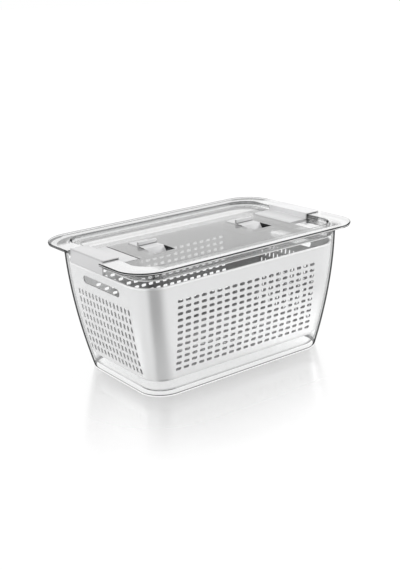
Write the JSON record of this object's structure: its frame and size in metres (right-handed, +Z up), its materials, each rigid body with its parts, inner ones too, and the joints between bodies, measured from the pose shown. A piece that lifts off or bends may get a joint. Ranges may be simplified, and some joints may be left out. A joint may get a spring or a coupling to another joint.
{
  "type": "fridge organizer bin",
  "caption": "Clear lidded fridge bin with a perforated lift-out strainer basket, hinged side latches that clip over the rim, and rocking air vents in a sunk lid panel",
  "frame": {"origin": "middle of the flat base, on the surface that the bin stands on", "axes": "+X along the long side, +Y across the bin towards the back of the vents, +Z up"},
  "size_m": [0.28, 0.1852, 0.1369],
  "materials": {
    "clear_plastic": "clear, glossy",
    "basket_plastic": "light grey, glossy",
    "latch_plastic": "light grey, satin",
    "seal_silicone": "pale translucent silicone",
    "pad_silicone": "dark grey silicone"
  },
  "bodies": {
    "bin": {"bin": "clear_plastic"},
    "basket": {"strainer_basket": "basket_plastic"},
    "lid": {"lid": "clear_plastic", "lid_seal": "seal_silicone"},
    "latch_right": {"latch_right": "latch_plastic"},
    "latch_left": {"latch_left": "latch_plastic"},
    "vent_left": {"vent_rocker_left": "latch_plastic", "vent_pad_left": "pad_silicone"},
    "vent_right": {"vent_rocker_right": "latch_plastic", "vent_pad_right": "pad_silicone"}
  },
  "joints": [
    {"name": "lid_lift", "type": "slide", "parent": "bin", "child": "lid", "axis": [0, 0, 1], "range_m": [0, 0.26]},
    {"name": "basket_lift", "type": "slide", "parent": "bin", "child": "basket", "axis": [0, 0, 1], "range_m": [0, 0.13]},
    {"name": "latch_right_swing", "type": "hinge", "parent": "lid", "child": "latch_right", "pos_m": [0.09758, 0, 0.1284], "axis": [0, -1, 0], "range_deg": [0, 100]},
    {"name": "latch_left_swing", "type": "hinge", "parent": "lid", "child": "latch_left", "pos_m": [-0.09758, 0, 0.1284], "axis": [0, 1, 0], "range_deg": [0, 100]},
    {"name": "vent_left_rock", "type": "hinge", "parent": "lid", "child": "vent_left", "pos_m": [-0.062, 0.0073, 0.1276], "axis": [-1, 0, 0], "range_deg": [0, 16]},
    {"name": "vent_right_rock", "type": "hinge", "parent": "lid", "child": "vent_right", "pos_m": [0.062, 0.0073, 0.1276], "axis": [-1, 0, 0], "range_deg": [0, 16]}
  ],
  "couplings": [
    {"joint": "basket_lift", "follows": "lid_lift", "ratio": 0.5}
  ]
}
